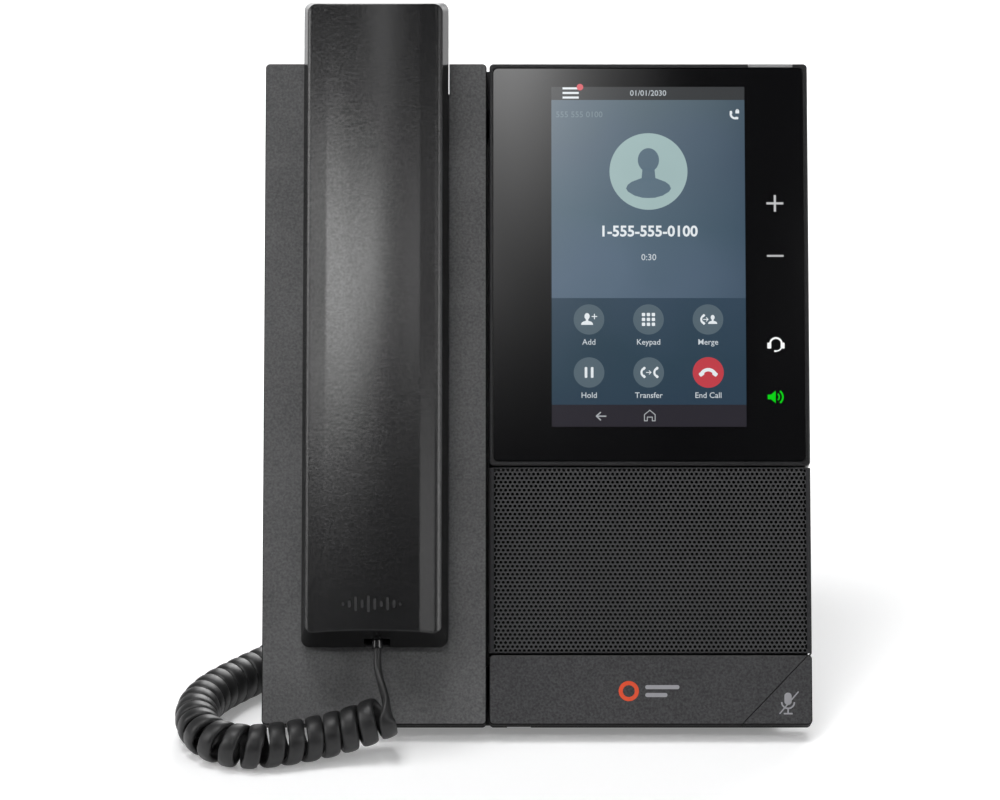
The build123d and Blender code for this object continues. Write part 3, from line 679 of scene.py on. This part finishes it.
def add_margin(mesh, first, last, count, profile):
    """Strip of the sheet between two places across it, with a profile of (u, depth)."""
    stations = [first + (last - first) * step / count for step in range(count + 1)]
    rows = [[mesh.verts.new(wrapped(s, u, depth)) for u, depth in profile] for s in stations]
    for before, after in zip(rows, rows[1:]):
        for step in range(len(profile) - 1):
            mesh.faces.new((before[step], before[step + 1], after[step + 1], after[step]))


# ------------------------------------------------------------------ screen
SCREEN_X = (4.8, 66.8)
SCREEN_U = (95.1, 205.6)
STATUS_U = 201.3
BUTTONS_U = (102.2, 136.7)
BASE_W = (0.04, 0.10)  # the lit plates lie in three thin layers
OVER_W = (0.10, 0.16)
MARK_W = (0.16, 0.22)
SCREEN_MIDDLE = 35.9
CALLER = (SCREEN_MIDDLE, 177.9)
BUTTON_X = (16.7, 35.7, 54.7)
BUTTON_ROWS = (129.75, 112.6)
LABEL_ROWS = (122.5, 105.3)


def person(scale):
    """Head and shoulders pictogram about the origin."""
    head = [(0.95 * x, 1.2 * u + 0.9) for x, u in disc(0, 0, 0.92)]
    neck = bar((-0.42, 0.42), (-0.9, 0.4))
    shoulders = [(2.0 * math.cos(turn), -2.0 + 1.35 * math.sin(turn) ** 0.8)
                 for turn in (math.pi * step / 24 for step in range(25))]
    return moved([head, neck, shoulders], 0, 0, scale)


def bust():
    """The caller's pictogram: a plain head over plain shoulders."""
    head = [(3.4 * math.cos(t), 3.9 * math.sin(t) + 3.7) for t in (math.pi * step / 24 for step in range(48))]
    neck = [(-2.3, -3.0), (-1.9, 1.2), (1.9, 1.2), (2.3, -3.0)]
    half = [(2.3, -2.2), (5.4, -3.4), (6.7, -4.4), (7.2, -5.6), (6.6, -6.6), (4.5, -7.9), (2.0, -8.6), (0.0, -8.7)]
    shoulders = half + [(-x, u) for x, u in half[-2::-1]]
    return [head, neck, shoulders]


def receiver(scale):
    """Telephone receiver pictogram: an arch with a fat pad at each end."""
    arch = band(0, -1.2, 1.75, 2.75, 35, 145, 14)
    pads = moved([rounded((-0.75, 0.75), (-0.55, 0.65), 0.35)], 1.95, -0.25, 1.0, -38)
    pads += moved([rounded((-0.75, 0.75), (-0.55, 0.65), 0.35)], -1.95, -0.25, 1.0, 38)
    return moved([arch, *pads], 0, 0, scale)


def arrow(scale):
    """Arrow to the right about the origin."""
    line = stroke([(-1.0, 0.0), (1.0, 0.0)], 0.32)
    head = stroke([(0.25, 0.75), (1.0, 0.0), (0.25, -0.75)], 0.32)
    return moved(line + head, 0, 0, scale)


def button_marks():
    """White pictograms of the six round buttons."""
    left, middle, right = BUTTON_X
    upper, lower = BUTTON_ROWS
    marks = moved(person(0.95), left - 0.6, upper + 0.15)
    marks += moved(stroke([(-0.75, 0.0), (0.75, 0.0)], 0.3) + stroke([(0.0, -0.75), (0.0, 0.75)], 0.3),
                   left + 1.75, upper + 0.95)
    for column in (-1, 0, 1):
        for row in (-1, 0, 1):
            x, u = middle + 1.58 * column, upper + 1.58 * row
            marks.append(rounded((x - 0.53, x + 0.53), (u - 0.53, u + 0.53), 0.2, 3))
    marks += moved(receiver(0.62), right - 1.5, upper, 1.0, 90)
    marks += moved(arrow(0.75), right - 0.7, upper)
    marks += moved(person(0.72), right + 1.5, upper)
    for side in (-1, 1):
        x = left + 0.98 * side
        marks.append(rounded((x - 0.42, x + 0.42), (lower - 1.75, lower + 1.75), 0.3, 4))
    marks += moved(receiver(0.66), middle - 1.6, lower, 1.0, 90)
    marks += moved(arrow(0.75), middle, lower)
    marks += moved(receiver(0.66), middle + 2.5, lower, 1.0, 90)
    marks += moved(receiver(1.08), right, lower - 0.25)
    return marks


def make_screen():
    """The lit picture of a call, in plates and generic words just proud of the glass."""
    white = glow("screen_white", 226, 232, 236)
    grey = glow("screen_grey", 168, 172, 176)
    stops = [(0.0, linear(82, 102, 118)), (0.42, linear(88, 106, 124)), (0.62, linear(84, 104, 118)),
             (0.85, linear(92, 108, 122)), (1.0, linear(98, 114, 122))]
    picture = wallpaper("screen_wallpaper", stops, 0.55)
    lower_stops = [(0.05, linear(44, 62, 78)), (0.22, linear(46, 66, 80)), (0.40, linear(56, 74, 90))]
    panel_low = wallpaper("screen_lower", lower_stops, 0.35)
    status = bar(SCREEN_X, (STATUS_U, SCREEN_U[1]))
    foot = bar(SCREEN_X, (SCREEN_U[0], BUTTONS_U[0]))
    plates("screen_picture", [bar(SCREEN_X, (BUTTONS_U[1], STATUS_U))], BASE_W, picture)
    plates("screen_button_area", [bar(SCREEN_X, BUTTONS_U)], BASE_W, panel_low)
    plates("screen_status_bar", [status], BASE_W, glow("screen_status", 58, 60, 62))
    plates("screen_foot_bar", [foot], BASE_W, glow("screen_foot", 42, 40, 47))
    plates("caller_disc", [disc(*CALLER, 12.5, 72)], OVER_W, glow("caller_pale", 160, 184, 184))
    plates("caller_bust", moved(bust(), *CALLER), MARK_W, glow("caller_dark", 92, 112, 126))
    rounds = [disc(x, u, 4.9) for u in BUTTON_ROWS for x in BUTTON_X][:5]
    plates("round_buttons", rounds, OVER_W, glow("button_grey", 84, 100, 110))
    plates("end_button", [disc(BUTTON_X[2], BUTTON_ROWS[1], 4.95)], OVER_W, glow("button_red", 190, 62, 72))
    plates("button_marks", button_marks(), MARK_W, white)
    menu = [bar((8.4, 13.6), (u - 0.33, u + 0.33)) for u in (205.1, 203.6, 202.1)]
    plates("menu_mark", menu, OVER_W, white)
    plates("menu_dot", [disc(14.0, 205.5, 1.05)], MARK_W, glow("menu_red", 214, 88, 98))
    locked = moved(receiver(0.66), 63.3, 196.2, 1.0, 135)
    locked += [rounded((63.9, 65.1), (196.9, 197.9), 0.15, 3)] + moved([band(0, 0, 0.28, 0.5, 0, 180)], 64.5, 197.8)
    plates("lock_mark", locked, OVER_W, white)
    back = stroke([(19.0, 98.5), (22.0, 98.5)], 0.4) + stroke([(20.3, 99.7), (19.0, 98.5), (20.3, 97.3)], 0.4)
    home = stroke([(34.3, 99.0), (36.0, 100.4), (37.7, 99.0), (37.7, 97.0), (36.8, 97.0), (36.8, 98.2),
                   (35.2, 98.2), (35.2, 97.0), (34.3, 97.0), (34.3, 99.0)], 0.27)
    plates("foot_marks", back + home, OVER_W, grey)
    left, middle, right = BUTTON_X
    upper, lower = LABEL_ROWS
    names = [("Add", left, upper), ("Keypad", middle, upper), ("Merge", right, upper), ("Hold", left, lower),
             ("Transfer", middle, lower), ("End Call", right, lower)]
    lines = [(words, x, u, 1.8, 0.01, "CENTER") for words, x, u in names]
    lines.append(("0:30", SCREEN_MIDDLE, 150.0, 2.0, 0.01, "CENTER"))
    lines.append(("01/01/2030", SCREEN_MIDDLE, 203.6, 1.8, 0.0, "CENTER"))
    number = ("1-555-555-0100", SCREEN_MIDDLE, 158.5, 3.4, 0.12, "CENTER")
    own_number = ("555 555 0100", 6.2, 196.6, 1.9, 0.0, "LEFT")
    lettering("screen_words", lines, OVER_W, glow("screen_pale", 198, 206, 212))
    lettering("screen_number", [number], OVER_W, white)
    lettering("screen_own_number", [own_number], OVER_W, glow("screen_dim", 122, 138, 146))


# ------------------------------------------------------------- touch marks
TOUCH_X = 76.35
HEADSET_U = 121.9
SPEAKER_U = 104.7


def make_touch_marks():
    """Printed touch marks that light up beside the screen."""
    white = glow("touch_white", 245, 246, 246)
    grey = glow("touch_grey", 190, 190, 192)
    x = TOUCH_X
    plus = [bar((x - 2.7, x + 2.7), (167.15, 167.85)), bar((x - 0.35, x + 0.35), (164.8, 167.15)),
            bar((x - 0.35, x + 0.35), (167.85, 170.2))]
    plates("touch_volume", plus + [bar((x - 2.65, x + 2.65), (150.1, 150.7))], BASE_W, grey)
    u = HEADSET_U
    hoop = band(x, u, 1.55, 2.15, -20, 200, 24)
    cups = [rounded((x - 2.75, x - 1.5), (u - 1.55, u + 0.35), 0.2, 3)]
    cups.append(rounded((x + 1.5, x + 2.75), (u - 1.55, u + 0.35), 0.2, 3))
    boom = band(x + 0.1, u - 0.55, 1.6, 2.0, -90, -15, 12)
    tip = rounded((x - 0.6, x + 0.3), (u - 2.65, u - 2.1), 0.2, 3)
    plates("touch_headset", [hoop, *cups, boom, tip], BASE_W, white)
    u = SPEAKER_U
    horn = [(x - 2.75, u - 0.75), (x - 1.7, u - 0.75), (x - 0.2, u - 2.0), (x - 0.2, u + 2.0),
            (x - 1.7, u + 0.75), (x - 2.75, u + 0.75)]
    waves = [band(x - 0.3, u, 1.0, 1.45, -52, 52), band(x - 0.3, u, 2.1, 2.65, -52, 52)]
    plates("touch_speaker", [horn, *waves], BASE_W, glow("touch_green", 0, 208, 16))


# ------------------------------------------------------- marks on the case
PRINT_W = (0.0, 0.06)
RING = (29.0, 10.6)
MICROPHONE = (79.3, 6.7)
WAVE_X = range(-61, -42, 2)
WAVE_U = 36.4
WAVE_TALL = (0.5, 1.1, 2.3, 1.3, 2.6, 1.8, 0.9, 2.0, 1.2, 0.5)  # half the height of each bar
WAVE_WIDE = 0.42  # half the width


def make_case_marks():
    """A plain generic mark on the chin, the crossed-out microphone and the handset's raised bars."""
    orange = moulded("mark_orange", linear(214, 74, 34), 0.45, 0.3, 0.004, 0.05)
    pale = moulded("mark_pale", linear(150, 150, 154), 0.5, 0.3, 0.004, 0.05)
    plates("maker_mark_ring", ring(*RING, 1.9, 3.2), PRINT_W, orange)
    bars = [rounded((34.2, 45.0), (11.2, 12.5), 0.6, 4), rounded((34.2, 41.2), (8.7, 10.0), 0.6, 4)]
    plates("maker_mark_bars", bars, PRINT_W, pale)
    x, u = MICROPHONE
    capsule = rounded((x - 1.15, x + 1.15), (u - 0.5, u + 3.4), 1.1)
    yoke = band(x, u + 0.4, 1.75, 2.25, 180, 360, 20)
    stem = [bar((x - 0.25, x + 0.25), (u - 3.0, u - 1.7)), bar((x - 1.4, x + 1.4), (u - 3.5, u - 3.0))]
    slash = stroke([(x - 2.6, u - 3.2), (x + 3.2, u + 3.6)], 0.42)
    wave = [rounded((place - WAVE_WIDE, place + WAVE_WIDE), (WAVE_U - tall, WAVE_U + tall), WAVE_WIDE, 4)
            for place, tall in zip(WAVE_X, WAVE_TALL)]
    raised = moulded("handset_mark", (0.014, 0.014, 0.015, 1.0), 0.32, 0.3, 0.004, 0.05)
    plates("sound_wave", wave, (15.7, 16.34), raised, "handset")
    plates("mute_mark", [capsule, yoke, *stem, *slash], (0.0, 0.05), pale, "mute_key")


# ---------------------------------------------------- materials of the CAD
def paint(material, *names):
    """Give CAD nodes their material."""
    for name in names:
        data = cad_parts[name].data
        data.materials.clear()
        data.materials.append(material)


def paint_everything():
    """Materials of every CAD node that shows or could show."""
    # The edge limits paint shade on the cover, the chin and the handset: their walls and rounded edges are
    # blackened as if shaded.
    cover = moulded("cover_grey", (0.085, 0.085, 0.087, 1.0), 0.55, 0.75, 0.15, 0.24, edge=(0.82, 0.97), gleam=0.4)
    chin = moulded("chin_grey", (0.030, 0.030, 0.032, 1.0), 0.55, 0.75, 0.15, 0.22, edge=(0.82, 0.97), gleam=0.4)
    case = moulded("rear_black", (0.030, 0.030, 0.032, 1.0), 0.5, 0.6, 0.04, 0.12)
    handset = moulded("handset_black", (0.008, 0.008, 0.0085, 1.0), 0.18, 0.75, 0.008, 0.12, rough_spread=0.03,
                      edge=(0.2, 0.5), gleam=0.26, rounding=0.9, stretch=0.8)
    rim = moulded("frame_black", (0.009, 0.009, 0.010, 1.0), 0.32, 0.3, 0.006, 0.04, specular=0.35)
    paint(cover, "cradle_cover")
    paint(chin, "chin_bar", "mute_key")
    paint(case, "rear_housing", "hook_guide", "speaker_box", "retention_tab", "hook_plunger")
    paint(moulded("stand_black", (0.028, 0.028, 0.030, 1.0), 0.5, 0.6, 0.04, 0.12), "stand")
    paint(handset, "handset_front", "handset_back")
    paint(rim, "display_frame")
    paint(glossy("glass_black", (0.0035, 0.0035, 0.004, 1.0), 0.05), "cover_glass")
    paint(moulded("light_bar", (0.25, 0.25, 0.255, 1.0), 0.35, 0.3, 0.004, 0.05), "message_light_pipe")
    paint(cloth("speaker_cloth", (0.006, 0.006, 0.006, 1.0)), "grille_cloth")
    steel = metal("plated_steel", (0.55, 0.55, 0.57, 1.0))
    paint(steel, "lcd_tray", "shield_can", "usb_port", "speaker_frame", "stand_pins", "handset_weight",
          "housing_screws", "handset_screws")
    paint(circuit("dark_board", (0.006, 0.010, 0.008, 1.0)), "main_board", "touch_key_board", "mute_board")
    part = moulded("component_black", (0.018, 0.018, 0.019, 1.0), 0.4, 0.3, 0.01, 0.1)
    paint(part, "mute_switch", "processor", "hook_switch", "lan_jack", "pc_jack", "headset_jack", "dc_jack",
          "handset_jack", "handset_cord_jack", "base_microphone", "handset_microphone", "receiver_capsule")
    paint(cloth("cone_paper", (0.04, 0.04, 0.04, 1.0)), "speaker_cone")
    paint(metal("magnet_plate", (0.30, 0.30, 0.31, 1.0), 0.45), "speaker_magnet")
    paint(glossy("ribbon_amber", (0.35, 0.17, 0.03, 1.0), 0.3), "display_ribbon")
    paint(glossy("screen_glass", (0.02, 0.025, 0.03, 1.0), 0.1), "lcd_panel")
    paint(moulded("diffuser_white", (0.8, 0.81, 0.83, 1.0), 0.4, 0.3, 0.004, 0.03), "backlight_unit",
          "touch_key_lights")
    paint(moulded("label_silver", (0.45, 0.45, 0.46, 1.0), 0.35, 0.3, 0.004, 0.05), "rating_plate")
    paint(rubber("foot_rubber", (0.016, 0.016, 0.016, 1.0)), "base_feet", "stand_pad", "receiver_gasket")
    paint(glossy("plug_smoke", (0.012, 0.012, 0.013, 1.0), 0.12), "base_plug", "cord_plug_on_handset")


# ------------------------------------------------------------ floor, light
FLOOR_HALF = 9.0
FLOOR_GLOW = 0.23
ROOM_Y = (-0.75, 0.35)  # the room's wall brightens between these, from the front to the back
ROOM_GLOW = (0.008, 0.15)
CARD_REACH = 1.9
CROWN = (-51.0, 148.0, 12.0)
GLASS_TOP = (-10.0, 240.0, 0.0)
EDGE_FOOT = (-34.0, 50.0, 14.0)
EDGE_WAIST = (-34.0, 65.0, 14.0)
EDGE_HEAD = (-34.0, 150.0, 14.0)
PANEL_MIDDLE = panel(0.0, 100.0, 0.0)
AREA_LIGHTS = [  # name, place, aim, size, power in watts
    ("key", (-0.5, -0.2, 2.6), PANEL_MIDDLE, 1.0, 31.0),
    ("left_box", (-2.0, -0.7, 1.3), PANEL_MIDDLE, 1.1, 24.0),
    ("back_box", (0.5, 2.4, 1.3), (0.0, 0.0, 0.1), 1.6, 60.0),
]
CARDS = [  # name, spot on the panel, tilt, shift to the right, half size, strength, fading power
    ("sheen", CROWN, 0.0, -0.40, (0.30, 0.09), 15.0, 0.5),
    ("sheen_core", CROWN, 0.0, -0.40, (0.30, 0.05), 15.0, 0.5),
    ("sheen_wide", CROWN, 0.0, -0.44, (0.50, 0.09), 13.0, 0.5),
    ("sheen_left", CROWN, 0.0, -0.75, (0.25, 0.12), 13.5, 0.5),
    ("sheen_middle", CROWN, 0.0, -0.04, (0.10, 0.045), 26.0, 0.5),
    ("sheen_right", CROWN, 0.0, 0.44, (0.14, 0.10), 5.0, 0.5),
    ("top_glare", GLASS_TOP, 0.0, 0.0, (0.16, 0.42), 10.5, 4.0),
    ("edge_low", EDGE_FOOT, 14.0, 0.0, (0.16, 0.16), 3.6, 0.5),
    ("edge_high", EDGE_HEAD, 14.0, 0.0, (0.14, 0.14), 1.6, 0.5),
    ("edge_right", EDGE_WAIST, 26.0, 0.0, (0.25, 0.45), 10.0, 0.5),
    ("edge_far_right", EDGE_WAIST, 42.0, 0.0, (0.35, 0.5), 3.0, 0.5),
]


def make_floor():
    """Pale floor with a faint glow of its own, so that it stays near white."""
    mesh = bmesh.new()
    half = FLOOR_HALF
    corners = [mesh.verts.new((x, y, 0.0)) for x, y in ((-half, -half), (half, -half), (half, half), (-half, half))]
    mesh.faces.new(corners)
    nodes = Nodes("floor_white")
    soft = nodes.noise(400.0, 2.0)
    tone = nodes.mix(soft, (0.86, 0.86, 0.865, 1.0), (0.88, 0.88, 0.885, 1.0))
    material = nodes.set(colour=tone, rough=0.7, specular=0.2, glow=WHITE, glow_strength=FLOOR_GLOW)
    floor = new_object("floor", closed(mesh, "floor"), material)


def facing(place, aim, axis):
    """Rotation that turns an axis at place towards aim."""
    return (Vector(aim) - Vector(place)).to_track_quat(axis, "Y").to_euler()


def area_light(name, place, aim, size, power):
    """Square soft box."""
    data = bpy.data.lights.new(name, "AREA")
    data.energy = power
    data.shape = "SQUARE"
    data.size = size
    light = bpy.data.objects.new(name, data)
    bpy.context.scene.collection.objects.link(light)
    light.location = place
    light.rotation_euler = facing(place, aim, "-Z")


def light_card(name, place, aim, size, strength, power):
    """Soft oval card of light: brightest in the middle and fading out to its edge."""
    mesh = bmesh.new()
    bmesh.ops.create_grid(mesh, x_segments=1, y_segments=1, size=1.0)
    nodes = Nodes(name)
    nodes.tree.nodes.remove(nodes.shader)
    fade = nodes.add("ShaderNodeTexGradient", {"Vector": nodes.place}, gradient_type="SPHERICAL").outputs["Fac"]
    level = nodes.math("MULTIPLY", nodes.math("POWER", fade, power), strength)
    emission = nodes.add("ShaderNodeEmission", {"Strength": level})
    nodes.feed(nodes.tree.nodes["Material Output"].inputs["Surface"], emission.outputs[0])
    card = new_object(name, closed(mesh, name), nodes.material)
    card.scale = (size[0], size[1], 1.0)
    card.location = place
    card.rotation_euler = facing(place, aim, "Z")
    card.visible_camera = False
    card.visible_shadow = False


def mirror_card(name, camera, spot, tilt, shift, size, strength, power):
    """Card seen by the camera in a face at spot that is turned tilt degrees to the right."""
    turn = math.radians(tilt)
    normal = Vector((math.sin(turn), PANEL_NORMAL[1] * math.cos(turn), PANEL_NORMAL[2] * math.cos(turn)))
    toward = (camera.location - spot).normalized()
    way = 2.0 * normal.dot(toward) * normal - toward
    place = spot + CARD_REACH * way + shift * Vector((1.0, 0.0, 0.0))
    light_card(name, place, spot, size, strength, power)


def make_world():
    """Grey room that is dark in front, where the glass mirrors it."""
    world = bpy.data.worlds.new("room")
    world.use_nodes = True
    tree = world.node_tree
    place = tree.nodes.new("ShaderNodeTexCoord")
    split = tree.nodes.new("ShaderNodeSeparateXYZ")
    fade = tree.nodes.new("ShaderNodeMapRange")
    fade.interpolation_type = "SMOOTHSTEP"
    for socket, value in enumerate((*ROOM_Y, *ROOM_GLOW), 1):
        fade.inputs[socket].default_value = value
    tree.links.new(place.outputs["Generated"], split.inputs[0])
    tree.links.new(split.outputs["Y"], fade.inputs[0])
    tree.links.new(fade.outputs[0], tree.nodes["Background"].inputs["Strength"])
    tree.nodes["Background"].inputs["Color"].default_value = WHITE
    bpy.context.scene.world = world


def make_light(camera):
    """Soft boxes for the form, and cards for the highlights on the handset and the glass."""
    make_world()
    for light in AREA_LIGHTS:
        area_light(*light)
    for name, spot, *rest in CARDS:
        mirror_card(name, camera, panel(*spot), *rest)


# ------------------------------------------------------------------- build
camera = make_camera()
make_cord(rubber("cord_black", (0.011, 0.011, 0.0115, 1.0), 0.46, 0.42))
paint_everything()
make_grille(moulded("grille_grey", (0.036, 0.036, 0.038, 1.0), 0.5, 0.3, 0.006, 0.08),
            moulded("grille_margin", (0.030, 0.030, 0.032, 1.0), 0.75, 0.3, 0.006, 0.08, specular=0.1))
make_screen()
make_touch_marks()
make_case_marks()
make_floor()
make_light(camera)
bpy.context.scene.view_settings.view_transform = "Standard"
